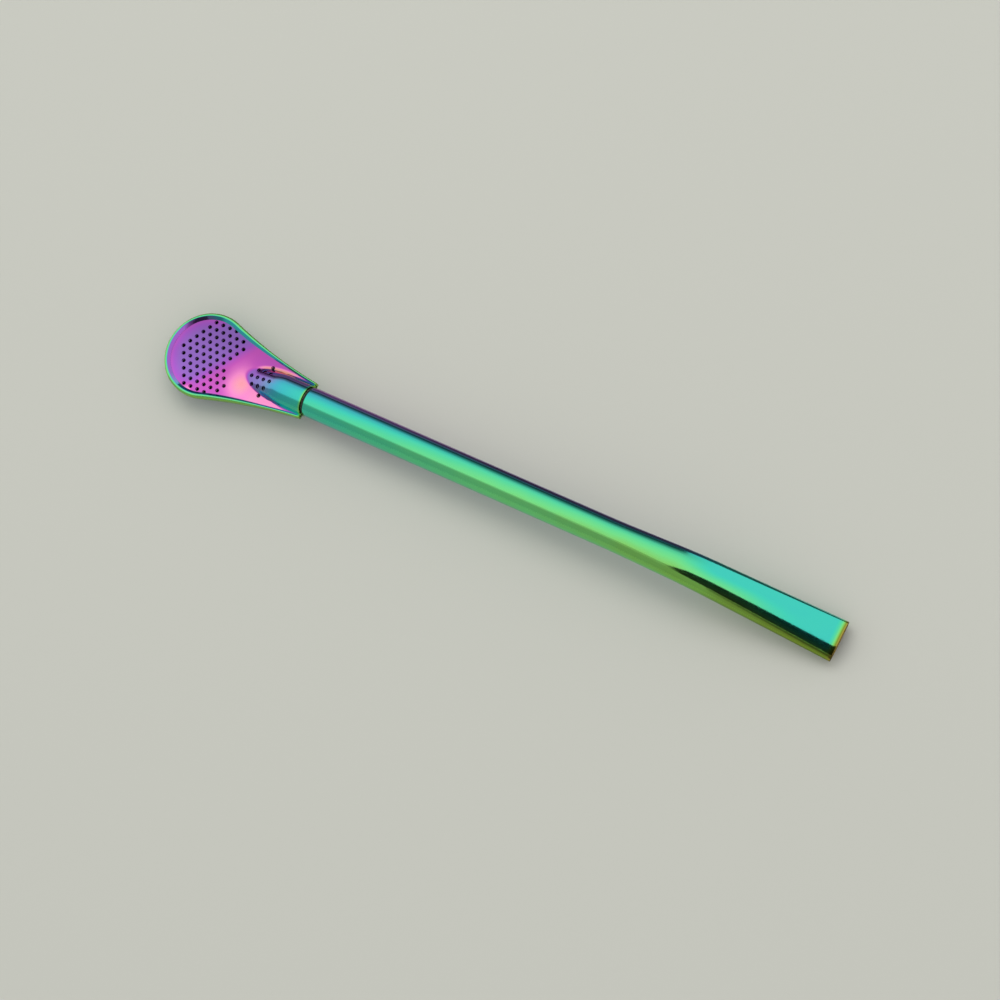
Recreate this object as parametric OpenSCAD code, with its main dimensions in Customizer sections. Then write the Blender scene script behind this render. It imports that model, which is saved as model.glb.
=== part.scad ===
// Spoon bombilla: a steel drinking straw with a strainer spoon screwed on its lower end
// and an oval mouth pressed on its upper end.
// X runs along the straw towards the mouth, Z is up with the strainer on top,
// and the origin is the middle of the spoon's flat belly on the table.

/* [Spoon] */
// Radius of the bowl over its rim
bowl_r = 10.5; // [9.8:0.1:12]
// Distance from the middle of the bowl to the end of the neck
neck_x = 28.1; // [26.5:0.1:34]
// Height of the strainer plate's underside above the table, in the bowl
plate_z = 5.3; // [5:0.1:7]
// Radius of the flat belly that lies on the table
belly_r = 4.5; // [3:0.1:6]
// Thickness of the pressed sheet
sheet_t = 0.5; // [0.4:0.02:0.56]
// Angle of the side where it leaves the round bowl
leave_angle = 18; // [15:0.5:20]
// Angle of the side at the end of the neck
neck_angle = 6; // [2:0.5:8]

/* [Rim] */
// Width of the folded rim round the bowl
rim_w = 1.5; // [1.2:0.05:1.8]
// Width of the folded rim at the neck
rim_neck_w = 0.8; // [0.75:0.05:0.95]
// Height of the rim's crest above the strainer plate, round the bowl
rim_h = 0.7; // [0.6:0.05:1.1]
// Height of the rim's crest above the strainer plate, at the neck
rim_neck_h = 0.45; // [0.4:0.05:0.8]
// Width of the rim's flange that is doubled under the plate's edge
rim_flange = 0.6; // [0.5:0.05:0.7]
// Radius of the rim's lower outer corner
rim_corner = 0.25; // [0.15:0.05:0.3]

/* [Strainer] */
// Diameter of a strainer hole
hole_d = 0.85; // [0.6:0.05:1.1]
// Distance between neighbouring holes in the bowl
hole_pitch = 1.88; // [1.6:0.02:1.94]
// Distance from the middle of the bowl back to the first hole
first_hole = 6.7; // [6.2:0.1:7.1]
// Holes in each row of the bowl, from the middle row outward
row_holes = [7, 7, 7, 7, 6, 4]; // [1:1:9]
// Distance from the middle of the bowl to the first hole of the neck
neck_first_hole = 12.6; // [11.8:0.1:13.2]
// Distance between holes along a row of the neck
neck_hole_pitch = 1.88; // [1.6:0.02:1.94]
// Distance between the rows of holes of the neck
neck_row_pitch = 1.83; // [1.6:0.01:1.95]
// Holes in each row of the neck, from the middle row outward
neck_holes = [4, 3, 1]; // [1:1:5]
// Start of each row of the neck, in hole pitches behind the first hole
neck_row_start = [0, 0.5, 2]; // [0:0.5:3]

/* [Neck] */
// Step from the straw's surface out to the neck's surface
neck_step = 0.2; // [0.15:0.05:0.3]
// Depth of the straw's axis below the strainer plate's top at the neck's end
neck_drop = 0.2; // [0.1:0.05:0.5]
// Slope of the raised channel's nose down into the strainer plate
nose_fall = 20.5; // [18:0.5:24]
// Radius of the bend from the channel's barrel into its nose
channel_bend_r = 5; // [3:0.5:8]

/* [Screw] */
// Thread pitch
thread_pitch = 1; // [0.8:0.05:1.2]
// Turns of thread in use
thread_turns = 5; // [3:1:5]
// Depth of the round thread
thread_depth = 0.36; // [0.3:0.02:0.4]
// Clearance between the two threads
thread_gap = 0.12; // [0.1:0.01:0.14]
// Length of the nut in the neck
nut_len = 5.8; // [5.5:0.1:7]
// Wall of the nut behind its thread
nut_wall = 0.36; // [0.3:0.02:0.42]
// Wall of the spigot under its thread
spigot_wall = 0.46; // [0.35:0.02:0.6]
// Length of the spigot that is fixed in the straw
spigot_grip = 6; // [4:0.5:10]

/* [Washer] */
// Thickness of the washer
washer_t = 0.3; // [0.2:0.05:0.6]
// Depth of the washer's edge below the straw's surface
washer_inset = 0.15; // [0.1:0.05:0.25]

/* [Straw] */
// Outer diameter of the straw
tube_od = 7.1; // [6.8:0.1:7.4]
// Wall of the straw
tube_wall = 0.45; // [0.35:0.05:0.6]
// Rounding of the straw's lower shoulder
shoulder_r = 0.3; // [0.15:0.05:0.4]
// Length from the shoulder to the bend
straight_len = 96; // [70:1:140]
// Rise of the straw from the plane of the spoon
tube_rise = 2; // [1.5:0.1:3]
// Radius of the bend
bend_r = 45; // [30:1:60]
// Length from the start of the bend to the mouth's end, along the axis
mouth_len = 41; // [36:0.5:56]

/* [Mouth] */
// Width of the oval mouth
mouth_w = 9.8; // [8:0.1:11]
// Height of the oval mouth
mouth_h = 4.4; // [3.6:0.1:5.5]
// Length before the bend from which the straw is pressed
press_lead = 17; // [8:0.5:24]
// Share of the pressed length in which the sides ease out of the round straw
press_ease = 0.1; // [0.05:0.05:0.5]
// Rounding of the mouth's lip
lip_r = 0.16; // [0.1:0.02:0.18]

/* [Clearances] */
// Gap of a brazed or folded seam
seam = 0.04; // [0.02:0.01:0.06]
// Gap between the channel's foot and the rim at the neck
rim_gap = 0.05; // [0.03:0.01:0.1]
// Running gap on each side of the washer
washer_gap = 0.04; // [0.03:0.01:0.1]

/* [Hidden] */
$fn = 96;
over = 1;

function smooth(u) = let (c = max(0, min(1, u))) c * c * (3 - 2 * c);
function mix(a, b, u) = a + (b - a) * u;

// Heights of the spoon's seams and of the straw's axis at the neck's end
plate_top = plate_z + sheet_t;
flange_z = plate_z - sheet_t;
neck_z = plate_top - neck_drop;
axis_slope = tan(tube_rise);

// Radii that nest in the neck, from the barrel inward to the spigot's bore
tube_r = tube_od / 2;
bore_r = tube_r - tube_wall;
neck_r = tube_r + neck_step;
nut_r = neck_r - sheet_t - seam;
half_depth = thread_depth / 2;
nut_thread_r = nut_r - nut_wall - half_depth;
spigot_thread_r = nut_thread_r - thread_gap;
spigot_bore_r = spigot_thread_r - half_depth - spigot_wall;
washer_bore_r = spigot_thread_r + half_depth + washer_gap;
washer_r = tube_r - washer_inset;

// Lengths along the straw's axis, counted from the neck's end
joint_gap = washer_t + 2 * washer_gap;
thread_len = thread_turns * thread_pitch;
barrel_len = nut_len + sheet_t;
bend_at = joint_gap + straight_len;
press_at = bend_at - press_lead;

// Half the width and half the height of the straw as it is pressed from round to the oval of the mouth
function eased(u) =
    (u < press_ease ? max(u, 0) * max(u, 0) / press_ease / 2 : u - press_ease / 2) / (1 - press_ease / 2);
function mouth_half(along) =
    let (u = eased((along + press_lead) / (mouth_len + press_lead)))
    [mix(tube_r, mouth_w / 2, u), mix(tube_r, mouth_h / 2, u)];

// Bend that brings the lower lip of the mouth down to the table
lip_at = mouth_len - lip_r;
function lip_height(bend) =
    let (fall = bend - tube_rise)
    let (run_out = lip_at - bend_r * bend * PI / 180)
    neck_z + bend_at * sin(tube_rise) + bend_r * (cos(fall) - cos(tube_rise))
    - run_out * sin(fall) - mouth_half(lip_at).y * cos(fall);
function bend_to_table(low, high, steps) =
    let (mid = (low + high) / 2)
    steps == 0 ? mid
    : lip_height(mid) > 0 ? bend_to_table(mid, high, steps - 1) : bend_to_table(low, mid, steps - 1);
most_bend = 45;
halvings = 30;
mouth_bend = bend_to_table(tube_rise, most_bend, halvings);
bend_len = bend_r * mouth_bend * PI / 180;

// Facets of the pressed and threaded forms
arc_steps = 18;
taper_steps = 16;
wall_steps = 8;
rim_steps = 8;
lead_rings = 8;
bend_rings = 8;
channel_sides = 48;
mouth_rings = 14;
mouth_sides = 44;
thread_sides = 24;
rings_per_turn = 6;

// Outline of the rim: an arc round the bowl, then one curve along the side to the neck
side_start = bowl_r * [sin(leave_angle), cos(leave_angle)];
side_end = [neck_x, neck_r + rim_gap + rim_neck_w];
side_ease = 1 / 3;
side_pull = (side_end.x - side_start.x) * side_ease;
side_points = [
    side_start,
    side_start + side_pull * [cos(leave_angle), -sin(leave_angle)],
    side_end - side_pull * [cos(neck_angle), -sin(neck_angle)],
    side_end
];
function side_at(t) =
    let (s = 1 - t)
    s * s * s * side_points[0] + 3 * s * s * t * side_points[1] + 3 * s * t * t * side_points[2]
    + t * t * t * side_points[3];
function side_angle(t) =
    let (s = 1 - t, leg = [for (i = [0 : 2]) side_points[i + 1] - side_points[i]])
    let (d = s * s * leg[0] + 2 * s * t * leg[1] + t * t * leg[2])
    atan2(-d.y, d.x);

// A station is [foot on the spine, edge x, edge y, share of the neck's section in the section there]
function bowl_station(angle) = [0, bowl_r * cos(angle), bowl_r * sin(angle), 0];
function side_station(t) =
    let (edge = side_at(t))
    let (share = smooth((edge.x - side_start.x) / (neck_x - barrel_len - side_start.x)))
    [edge.x - edge.y * tan(side_angle(t)) * (1 - share), edge.x, edge.y, share];
bowl_stations = [for (i = [0 : arc_steps]) bowl_station(180 - i * (90 + leave_angle) / arc_steps)];
side_stations = [for (i = [1 : taper_steps]) side_station(i / taper_steps)];
stations = concat(bowl_stations, side_stations);
function reach(st) = norm([st[1] - st[0], st[2]]);
function inset_edge(st, inset) = [st[1], st[2]] + ([st[0], 0] - [st[1], st[2]]) * inset / reach(st);

// Wall of the spoon's back from the keel out to the flange, at a depth of inset inside its outer face
function bowl_wall(inset, half, top) =
    let (flat = belly_r * half / bowl_r)
    let (side = half - rim_flange - inset - flat)
    concat([[0, inset]], [for (i = [0 : wall_steps - 1]) let (a = 90 * i / (wall_steps - 1))
        [flat + side * sin(a), inset + (top - inset) * (1 - cos(a))]]);
function neck_wall(inset, axis_z, top) =
    let (r = neck_r - inset)
    let (sweep = acos((axis_z - top) / r))
    [for (i = [0 : wall_steps]) let (a = sweep * i / wall_steps) [r * sin(a), axis_z - r * cos(a)]];
function back_wall(st, inset, top) =
    let (axis_z = neck_z - (neck_x - st[0]) * axis_slope)
    mix(bowl_wall(inset, reach(st), top), neck_wall(inset, axis_z, top), st[3]);

// Closed section of the spoon's back at a station: outer wall, flange, folded rim, groove, inner wall
function back_section(st) =
    let (half = reach(st))
    let (inner = back_wall(st, sheet_t, plate_z - seam))
    let (fold = mix(rim_w, rim_neck_w, st[3]) / 2)
    let (crest = mix(rim_h, rim_neck_h, st[3]) - seam)
    let (groove = half - rim_flange + seam)
    concat(
        back_wall(st, 0, flange_z),
        [for (a = [0 : 45 : 90]) [half + rim_corner * (sin(a) - 1), flange_z + rim_corner * (1 - cos(a))]],
        [for (i = [0 : rim_steps]) let (a = 180 * i / rim_steps)
            [half - fold + fold * cos(a), plate_top + seam + crest * sin(a)]],
        [[groove, plate_top + seam], [groove, plate_z - seam]],
        [for (i = [wall_steps : -1 : 0]) inner[i]]
    );
section_size = len(back_section(stations[0]));
last_station = len(stations) - 1;

// Places a section's point, with the neck's sections leaned square to the straw's axis
function back_point(st, p, side) =
    let (u = p.x / reach(st))
    [mix(st[0], st[1], u) - (p.y - neck_z) * axis_slope * st[3], side * st[2] * u, p.y];

// Points of the back: two keel points for each spine place, then the free points of every station
spine_count = taper_steps + 1;
free_count = section_size - 2;
keel_points = [for (i = [arc_steps : last_station]) let (s = back_section(stations[i]))
    each [back_point(stations[i], s[0], 1), back_point(stations[i], s[section_size - 1], 1)]];
side_order = [for (k = [-last_station : last_station]) k];
free_points = [for (k = side_order) let (st = stations[abs(k)]) let (s = back_section(st))
    for (j = [1 : free_count]) back_point(st, s[j], k < 0 ? -1 : 1)];
function back_index(k, j) =
    let (spine = max(0, abs(k) - arc_steps))
    j == 0 ? 2 * spine
    : j == section_size - 1 ? 2 * spine + 1
    : 2 * spine_count + (k + last_station) * free_count + j - 1;
function proper(faces) = [for (f = faces) if (f[0] != f[1] && f[1] != f[2] && f[2] != f[0]) f];
back_faces = concat(
    [for (k = [-last_station : last_station - 1], j = [0 : section_size - 2])
        let (a = back_index(k, j), b = back_index(k, j + 1))
        let (c = back_index(k + 1, j + 1), d = back_index(k + 1, j))
        each proper([[a, c, b], [a, d, c]])],
    [[for (j = [0 : section_size - 1]) back_index(-last_station, j)]],
    [[for (j = [section_size - 1 : -1 : 0]) back_index(last_station, j)]]
);

// Frame of the straw: X along its axis from the middle of the neck's end
module on_straw_axis() {
    translate([neck_x, 0, neck_z]) rotate([0, -tube_rise, 0]) children();
}

// Ring round the straw's axis, from one place along it to another
module ring(from, to, outer, inner) {
    translate([from, 0, 0]) rotate([0, 90, 0]) difference() {
        cylinder(h = to - from, r = outer);
        translate([0, 0, -over]) cylinder(h = to - from + 2 * over, r = inner);
    }
}

// Solid skinned over rings of points, each ring joined to the next and both ends capped
module capped_skin(rings) {
    sides = len(rings[0]);
    last = len(rings) - 1;
    skin = [for (j = [0 : last - 1], i = [0 : sides - 1])
        let (n = (i + 1) % sides)
        let (a = j * sides + i, b = j * sides + n)
        each [[a, b + sides, b], [a, a + sides, b + sides]]];
    ends = [[for (i = [0 : sides - 1]) i], [for (i = [sides - 1 : -1 : 0]) last * sides + i]];
    polyhedron(points = [for (r = rings) each r], faces = concat(skin, ends), convexity = 8);
}

// Oval ring square to a path along X that bends down at the origin and then runs on straight
function bent_ring(along, half, radius, bend, sides) =
    let (arc = radius * bend * PI / 180)
    let (turn = bend * max(0, min(along / arc, 1)), run = max(along - arc, 0))
    let (x = min(along, 0) + radius * sin(turn) + run * cos(turn))
    let (z = radius * (cos(turn) - 1) - run * sin(turn))
    [for (i = [0 : sides - 1]) let (a = 360 * i / sides, up = half.y * sin(a))
        [x + up * sin(turn), half.x * cos(a), z + up * cos(turn)]];

// Round-threaded rod along X, whose thread fades out towards its tip at the lower end
function thread_radius(mean, along, angle, fade) =
    mean - half_depth + half_depth * (1 + cos(360 * along / thread_pitch - angle)) * fade;
module threaded_rod(from, to, mean, fade_len) {
    rings = ceil((to - from) / thread_pitch * rings_per_turn);
    capped_skin([for (j = [0 : rings])
        let (along = mix(from, to, j / rings))
        let (fade = fade_len > 0 ? smooth((along - from) / fade_len) : 1)
        [for (i = [0 : thread_sides - 1])
            let (angle = 360 * i / thread_sides)
            let (r = thread_radius(mean, along, angle, fade))
            [along, r * cos(angle), r * sin(angle)]]]);
}

// Raised channel of the plate: a barrel from the neck's end, and a nose that dips from it into the plate
nose_dip = nose_fall - tube_rise;
nose_arc = channel_bend_r * nose_dip * PI / 180;
nose_len = 2 * neck_r / sin(nose_fall);
module channel(inset) {
    half = [neck_r - inset, neck_r - inset];
    bend = [for (i = [0 : bend_rings]) nose_arc * i / bend_rings];
    stops = concat([-barrel_len - over], bend, [nose_arc + nose_len]);
    translate([-barrel_len, 0, 0]) rotate([0, 0, 180])
        capped_skin([for (along = stops) bent_ring(along, half, channel_bend_r, nose_dip, channel_sides)]);
}

// Plan of the plate: the rim's outline brought in to the groove, and run out past the neck's end
module plate_outline() {
    edge = [for (st = stations) inset_edge(st, rim_flange)];
    half = concat(edge, [side_end + [over, -rim_flange]]);
    polygon(concat(half, [for (i = [len(half) - 1 : -1 : 1]) [half[i].x, -half[i].y]]));
}

module strainer_hole(x, y) {
    translate([x, y, plate_z - over]) cylinder(h = neck_r + 2 * over, d = hole_d, $fn = 24);
}

module strainer_holes() {
    for (row = [1 - len(row_holes) : len(row_holes) - 1], i = [0 : row_holes[abs(row)] - 1])
        strainer_hole((i + abs(row) / 2) * hole_pitch - first_hole, row * hole_pitch * sin(60));
    for (row = [1 - len(neck_holes) : len(neck_holes) - 1], i = [0 : neck_holes[abs(row)] - 1])
        strainer_hole(
            neck_first_hole + (i + neck_row_start[abs(row)]) * neck_hole_pitch,
            row * neck_row_pitch
        );
}

module bowl_back() {
    color("darkseagreen")
        polyhedron(points = concat(keel_points, free_points), faces = back_faces, convexity = 8);
}

module strainer_plate() {
    color("mediumpurple") difference() {
        union() {
            translate([0, 0, plate_z]) linear_extrude(sheet_t) plate_outline();
            intersection() {
                on_straw_axis() channel(0);
                translate([0, -bowl_r, plate_z]) cube([neck_x + over, 2 * bowl_r, bowl_r]);
            }
        }
        on_straw_axis() channel(sheet_t);
        on_straw_axis() translate([0, -bowl_r, -bowl_r]) cube(2 * bowl_r);
        strainer_holes();
    }
}

module neck_nut() {
    color("darkgray") on_straw_axis() difference() {
        translate([-nut_len, 0, 0]) rotate([0, 90, 0]) cylinder(h = nut_len, r = nut_r);
        threaded_rod(-nut_len - over, over, nut_thread_r, 0);
    }
}

module sealing_washer() {
    color("darkslategray") on_straw_axis() ring(washer_gap, washer_gap + washer_t, washer_r, washer_bore_r);
}

module screw_spigot() {
    color("silver") on_straw_axis() difference() {
        union() {
            translate([joint_gap, 0, 0]) rotate([0, 90, 0]) cylinder(h = spigot_grip, r = bore_r - seam);
            threaded_rod(-thread_len, joint_gap + over, spigot_thread_r, thread_pitch / 2);
        }
        translate([-thread_len - over, 0, 0]) rotate([0, 90, 0])
            cylinder(h = thread_len + joint_gap + spigot_grip + 2 * over, r = spigot_bore_r);
    }
}

// Pressed end of the straw: rings along the axis from the end of the round length to the rounded lip,
// outside and then back inside, whose first ring sits in the wall of the round length
function mouth_ring(along, half) = bent_ring(along, half, bend_r, mouth_bend, mouth_sides);
module bent_mouth() {
    tuck = seam / 4;
    flat = 1 / cos(180 / mouth_sides);
    stops = concat(
        [for (i = [1 : lead_rings]) mix(-press_lead, 0, i / lead_rings)],
        [for (i = [1 : bend_rings]) bend_len * i / bend_rings],
        [for (i = [1 : mouth_rings]) mix(bend_len, lip_at, i / mouth_rings)]
    );
    wall = [tube_wall, tube_wall];
    lip = [lip_r, lip_r];
    rings = concat(
        [mouth_ring(-press_lead - seam, [tube_r, tube_r] - [tuck, tuck])],
        [for (along = stops) mouth_ring(along, mouth_half(along))],
        [mouth_ring(mouth_len, mouth_half(mouth_len) - lip)],
        [mouth_ring(mouth_len, mouth_half(mouth_len) - wall + lip)],
        [for (i = [len(stops) - 1 : -1 : 0]) mouth_ring(stops[i], mouth_half(stops[i]) - wall)],
        [mouth_ring(-press_lead - seam, [bore_r, bore_r] * flat + [tuck, tuck])]
    );
    faces = [for (j = [0 : len(rings) - 1], i = [0 : mouth_sides - 1])
        let (n = (i + 1) % mouth_sides, next = (j + 1) % len(rings))
        let (a = j * mouth_sides + i, b = j * mouth_sides + n)
        let (c = next * mouth_sides + n, d = next * mouth_sides + i)
        each [[a, c, b], [a, d, c]]];
    polyhedron(points = [for (r = rings) each r], faces = faces, convexity = 8);
}

module straw_tube() {
    color("mediumaquamarine") on_straw_axis() {
        rotate([0, 90, 0]) rotate_extrude() polygon(concat(
            [for (i = [0 : 3]) let (a = 30 * i)
                [tube_r - shoulder_r * (1 - sin(a)), joint_gap + shoulder_r * (1 - cos(a))]],
            [[tube_r, press_at], [bore_r, press_at], [bore_r, joint_gap]]
        ));
        translate([bend_at, 0, 0]) bent_mouth();
    }
}

bowl_back();
strainer_plate();
neck_nut();
sealing_washer();
screw_spigot();
straw_tube();
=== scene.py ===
import math

import bmesh
import bpy
from mathutils import Matrix, Vector
from mathutils.geometry import delaunay_2d_cdt


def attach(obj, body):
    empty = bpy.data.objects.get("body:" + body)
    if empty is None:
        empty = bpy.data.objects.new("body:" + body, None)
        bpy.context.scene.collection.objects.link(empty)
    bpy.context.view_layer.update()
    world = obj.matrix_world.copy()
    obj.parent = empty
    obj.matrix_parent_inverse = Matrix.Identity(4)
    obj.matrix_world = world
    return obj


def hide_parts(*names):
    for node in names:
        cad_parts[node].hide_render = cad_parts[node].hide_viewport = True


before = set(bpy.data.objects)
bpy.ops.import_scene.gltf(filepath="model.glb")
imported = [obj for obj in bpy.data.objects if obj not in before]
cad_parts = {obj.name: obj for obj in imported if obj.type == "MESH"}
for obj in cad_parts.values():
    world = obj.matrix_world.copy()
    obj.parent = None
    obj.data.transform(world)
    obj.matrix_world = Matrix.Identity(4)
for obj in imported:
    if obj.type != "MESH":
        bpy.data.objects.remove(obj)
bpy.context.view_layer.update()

# The spoon's back is one blank of 0.5 mm stainless sheet, drawn into a bowl that runs out into half a barrel.
# Its edge is doubled under the strainer and folded over it, which makes the rounded rim.
# The whole head is then polished bright and filmed in a vacuum chamber. Sizes are in millimetres.
MM = 0.001
bowl_r = 10.5
neck_x = 28.1
plate_z = 5.3
sheet = 0.5
belly_r = 4.5
leave_angle = math.radians(18)
neck_angle = math.radians(6)
rim_w = 1.5
rim_neck_w = 0.8
rim_h = 0.7
rim_neck_h = 0.45
flange = 0.6
rim_corner = 0.25
inner_curve = 1.12
seam = 0.04
rim_gap = 0.05
neck_r = 3.75
neck_drop = 0.2
barrel_len = 6.3
straw_rise = math.radians(2)
plate_top = plate_z + sheet
flange_z = plate_z - sheet
neck_z = plate_top - neck_drop
slope = math.tan(straw_rise)
lip_round = 0.1
arc_steps = 66
side_steps = 72
wall_steps = 28
rim_steps = 24
corner_steps = 6
lip_steps = 4


def mix(a, b, u):
    return a + (b - a) * u


def smooth(u):
    c = max(0.0, min(1.0, u))
    return c * c * (3 - 2 * c)


side_start = Vector((math.sin(leave_angle), math.cos(leave_angle))) * bowl_r
side_end = Vector((neck_x, neck_r + rim_gap + rim_neck_w))
side_pull = (side_end.x - side_start.x) / 3
side_points = [
    side_start,
    side_start + side_pull * Vector((math.cos(leave_angle), -math.sin(leave_angle))),
    side_end - side_pull * Vector((math.cos(neck_angle), -math.sin(neck_angle))),
    side_end,
]


def station(u):
    """Foot on the spine, edge, and share of the neck's section, from the bowl's tip at -1 to the neck's end at 1."""
    if u <= 0:
        angle = math.pi - (u + 1) * (math.pi / 2 + leave_angle)
        return 0.0, Vector((math.cos(angle), math.sin(angle))) * bowl_r, 0.0
    a, b, c, d = side_points
    s = 1 - u
    edge = s ** 3 * a + 3 * s * s * u * b + 3 * s * u * u * c + u ** 3 * d
    run = s * s * (b - a) + 2 * s * u * (c - b) + u * u * (d - c)
    share = smooth((edge.x - side_start.x) / (neck_x - barrel_len - side_start.x))
    return edge.x + edge.y * run.y / run.x * (1 - share), edge, share


def back_wall(foot, edge, share, inset, top):
    """Wall from the keel out to a height as (distance out, height), at a depth inside its outer face."""
    half = math.hypot(edge.x - foot, edge.y)
    axis_z = neck_z - (neck_x - foot) * slope
    flat = belly_r * half / bowl_r
    side = half - flange - inset - flat
    r = neck_r - inset
    sweep = math.acos((axis_z - top) / r)
    turns = [math.pi / 2 * i / (wall_steps - 1) for i in range(wall_steps)]
    bowl = [(0.0, inset)] + [(flat + side * math.sin(a), inset + (top - inset) * (1 - math.cos(a))) for a in turns]
    turns = [sweep * i / wall_steps for i in range(wall_steps + 1)]
    neck = [(r * math.sin(a), axis_z - r * math.cos(a)) for a in turns]
    return [(mix(b[0], n[0], share), mix(b[1], n[1], share)) for b, n in zip(bowl, neck)]


def back_section(foot, edge, share):
    """Closed section: outer wall, flange, folded rim, groove that holds the strainer, inner wall."""
    half = math.hypot(edge.x - foot, edge.y)
    fold = mix(rim_w, rim_neck_w, share) / 2
    crest = mix(rim_h, rim_neck_h, share) - seam
    groove = half - flange + seam
    section = back_wall(foot, edge, share, 0.0, flange_z)
    for i in range(corner_steps + 1):
        a = math.pi / 2 * i / corner_steps
        section.append((half + rim_corner * (math.sin(a) - 1), flange_z + rim_corner * (1 - math.cos(a))))
    for i in range(rim_steps + 1):
        a = math.pi * i / rim_steps
        inward = max(0.0, -math.cos(a))
        height = 1 - inward ** inner_curve if inward else math.sin(a)
        section.append((half - fold + fold * math.cos(a), plate_top + seam + crest * height))
    section += [(groove, plate_top + seam), (groove, plate_z - seam)]
    return section + back_wall(foot, edge, share, sheet, plate_z - seam)[::-1]


def inset_loop(loop, depth):
    """The closed loop moved inward, to round its edge."""
    moved = []
    for i, (x, y) in enumerate(loop):
        before, after = loop[i - 1], loop[(i + 1) % len(loop)]
        along = Vector((after[0] - before[0], after[1] - before[1]))
        along = along.normalized() if along.length > 0 else along
        moved.append((x - along.y * depth, y + along.x * depth))
    return moved


def back_ring(u, side, back=0.0, inset=0.0):
    """A section's points in place, with the neck's sections leaned square to the straw's axis."""
    foot, edge, share = station(u)
    half = math.hypot(edge.x - foot, edge.y)
    ring = []
    for out, z in inset_loop(back_section(foot, edge, share), inset):
        out = max(out, 0.0)
        x = mix(foot, edge.x, out / half) - (z - neck_z) * slope * share - back
        ring.append(Vector((x, side * edge.y * out / half, z)))
    return ring


def skin(name, rings, closed=False):
    """A mesh piece from rings of points in millimetres, joined one to the next, capped or closed on itself."""
    count = len(rings[0])
    faces = []
    for j in range(len(rings) if closed else len(rings) - 1):
        a, b = j * count, (j + 1) % len(rings) * count
        faces += [(a + i, a + (i + 1) % count, b + (i + 1) % count, b + i) for i in range(count)]
    if not closed:
        faces += [tuple(range(count)), tuple((len(rings) - 1) * count + i for i in range(count))]
    return solid(name, [p for ring in rings for p in ring], faces)


def solid(name, points, faces):
    """A mesh piece from points in millimetres and faces, with doubled points welded and its edges kept crisp."""
    weld = 0.0005
    crisp_edge = math.radians(38)
    mesh = bpy.data.meshes.new(name)
    mesh.from_pydata([p * MM for p in points], [], faces)
    build = bmesh.new()
    build.from_mesh(mesh)
    bmesh.ops.remove_doubles(build, verts=build.verts, dist=weld * MM)
    bmesh.ops.recalc_face_normals(build, faces=build.faces)
    if build.calc_volume(signed=True) < 0:
        bmesh.ops.reverse_faces(build, faces=build.faces)
    build.to_mesh(mesh)
    build.free()
    mesh.shade_smooth()
    mesh.set_sharp_from_angle(angle=crisp_edge)
    piece = bpy.data.objects.new(name, mesh)
    bpy.context.scene.collection.objects.link(piece)
    return piece


lip_turns = [math.pi / 2 * i / lip_steps for i in range(1, lip_steps + 1)]
end_rings = [(lip_round * (1 - math.sin(a)), lip_round * (1 - math.cos(a))) for a in lip_turns]
half_way = [-1 + i / arc_steps for i in range(1, arc_steps)] + [i / side_steps for i in range(side_steps)]
left = [back_ring(1, -1, b, d) for b, d in end_rings[::-1]] + [back_ring(1, -1, lip_round)]
left += [back_ring(u, -1) for u in half_way[::-1]]
right = [back_ring(u, 1) for u in half_way]
right += [back_ring(1, 1, lip_round)] + [back_ring(1, 1, b, d) for b, d in end_rings]
back = skin("spoon_back", left + [back_ring(-1, 1)] + right)


def film_and_painted_shade(piece, film):
    """Stores the film's colour order and, as depth, a painted shade that scales its colour, at each point, from
    film(place in millimetres, normal).
    """
    values = [film(v.co / MM, v.normal) for v in piece.data.vertices]
    for name, column in zip(("film", "depth"), zip(*values)):
        piece.data.attributes.new(name, "FLOAT", "POINT").data.foreach_set("value", column)


# Colour orders run from 0 to 1 as the film thickens, along film_colours below.
# The painted shade in the rim's inner corner, a dark reflection painted into the colour, lies between two angles
# round the bowl, in degrees.
rim_crest = 0.74
rim_outside = 0.12
tip_inside = 0.62
neck_inside = 0.22
tip_reach = 8.0
belly_order = 0.36
wall_gain = 0.42
inner_shade = 0.5
shade_start = 88
shade_stop = 152
shade_ease = 10
shade_lean = 0.5
cut_order = 0.85
cut_edge = 0.9


def back_film(place, normal):
    """Pale green on the rim's crest, olive outside, violet to cyan inside; violet belly, greener up the wall."""
    foot = max(0.0, min(place.x, neck_x))
    outward = Vector((place.x - foot, place.y))
    outward = outward.normalized() if outward.length > 0 else outward
    lean = outward.x * normal.x + outward.y * normal.y
    wall = belly_order + wall_gain * smooth(place.z / plate_top)
    inside = mix(neck_inside, tip_inside, smooth(-place.x / tip_reach))
    rim = rim_crest + lean * (rim_outside if lean > 0 else inside)
    order = mix(wall, rim, smooth((place.z - flange_z) / sheet))
    order = mix(order, cut_order, smooth(1 - (neck_x - place.x) / cut_edge))
    # Painted shade: the rim's inner slope is darkened between these angles round the bowl.
    turn = math.degrees(math.atan2(place.y, place.x))
    shade = smooth((turn - shade_start) / shade_ease) * smooth((shade_stop - turn) / shade_ease)
    shade *= smooth(-lean / shade_lean)
    return order, mix(1.0, inner_shade, shade if place.z > plate_top else 0.0)


film_and_painted_shade(back, back_film)


def linear(colour):
    """An sRGB hex colour as linear red, green, blue and full alpha."""
    parts = [int(colour[i:i + 2], 16) / 255 for i in (1, 3, 5)]
    return [c / 12.92 if c <= 0.04045 else ((c + 0.055) / 1.055) ** 2.4 for c in parts] + [1.0]


def add(tree, kind, settings=None, inputs=None):
    """Adds a node with its settings, and sets or links its inputs."""
    made = tree.nodes.new(kind)
    for name, value in (settings or {}).items():
        setattr(made, name, value)
    for key, value in (inputs or {}).items():
        if isinstance(value, bpy.types.NodeSocket):
            tree.links.new(value, made.inputs[key])
        else:
            made.inputs[key].default_value = value
    return made


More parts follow.
